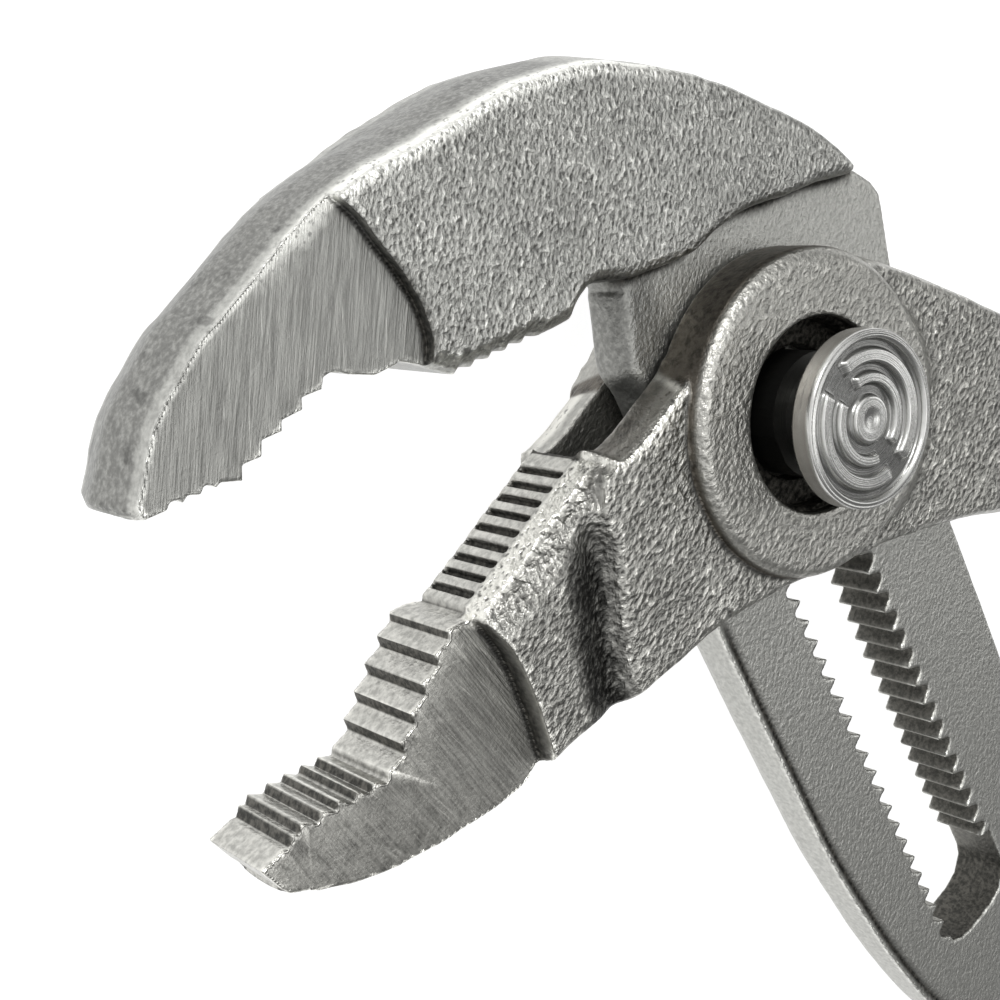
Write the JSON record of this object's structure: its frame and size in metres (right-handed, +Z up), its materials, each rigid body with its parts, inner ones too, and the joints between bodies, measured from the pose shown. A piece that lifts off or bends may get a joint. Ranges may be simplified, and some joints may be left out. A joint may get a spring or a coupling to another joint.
{
  "type": "water pump pliers",
  "caption": "Box-joint water pump pliers: toothed curved jaws, a slotted arm through the lower lever, push-button setting bolt and sleeved handles.",
  "frame": {"origin": "middle of the footprint, on the plane the tool lies on (rear ring boss face)", "axes": "+X along the longest extent, jaws towards -X and handles towards +X; +Z up through the pivot, button side up"},
  "size_m": [0.245, 0.1706, 0.0198],
  "materials": {
    "forged_steel": "forged and shot-blasted, ground jaw tips",
    "bright_steel": "turned and plated, satin",
    "spring_steel": "drawn wire",
    "grip_vinyl": "dipped, fine grain"
  },
  "bodies": {
    "outer_lever": {"lower_jaw_lever": "forged_steel", "lower_grip": "grip_vinyl", "rear_cap": "bright_steel", "retaining_ring": "spring_steel"},
    "pivot_core": {"return_spring": "spring_steel"},
    "inner_lever": {"upper_jaw_lever": "forged_steel", "upper_grip": "grip_vinyl"},
    "push_button": {"pivot_bolt": "bright_steel", "push_button_cap": "bright_steel"}
  },
  "joints": [
    {"name": "jaw_pivot", "type": "hinge", "parent": "outer_lever", "child": "pivot_core", "pos_m": [-0.06938, 0.06042, 0.0075], "axis": [0, 0, 1], "range_deg": [-20, 25]},
    {"name": "jaw_adjust", "type": "slide", "parent": "pivot_core", "child": "inner_lever", "axis": [-0.5314, 0.8471, 0], "range_m": [0, 0.04956]},
    {"name": "button_press", "type": "slide", "parent": "pivot_core", "child": "push_button", "axis": [0, 0, -1], "range_m": [0, 0.0044], "stiffness_N_per_m": 1000, "springref_m": -0.003, "deforming": ["return_spring"]}
  ]
}
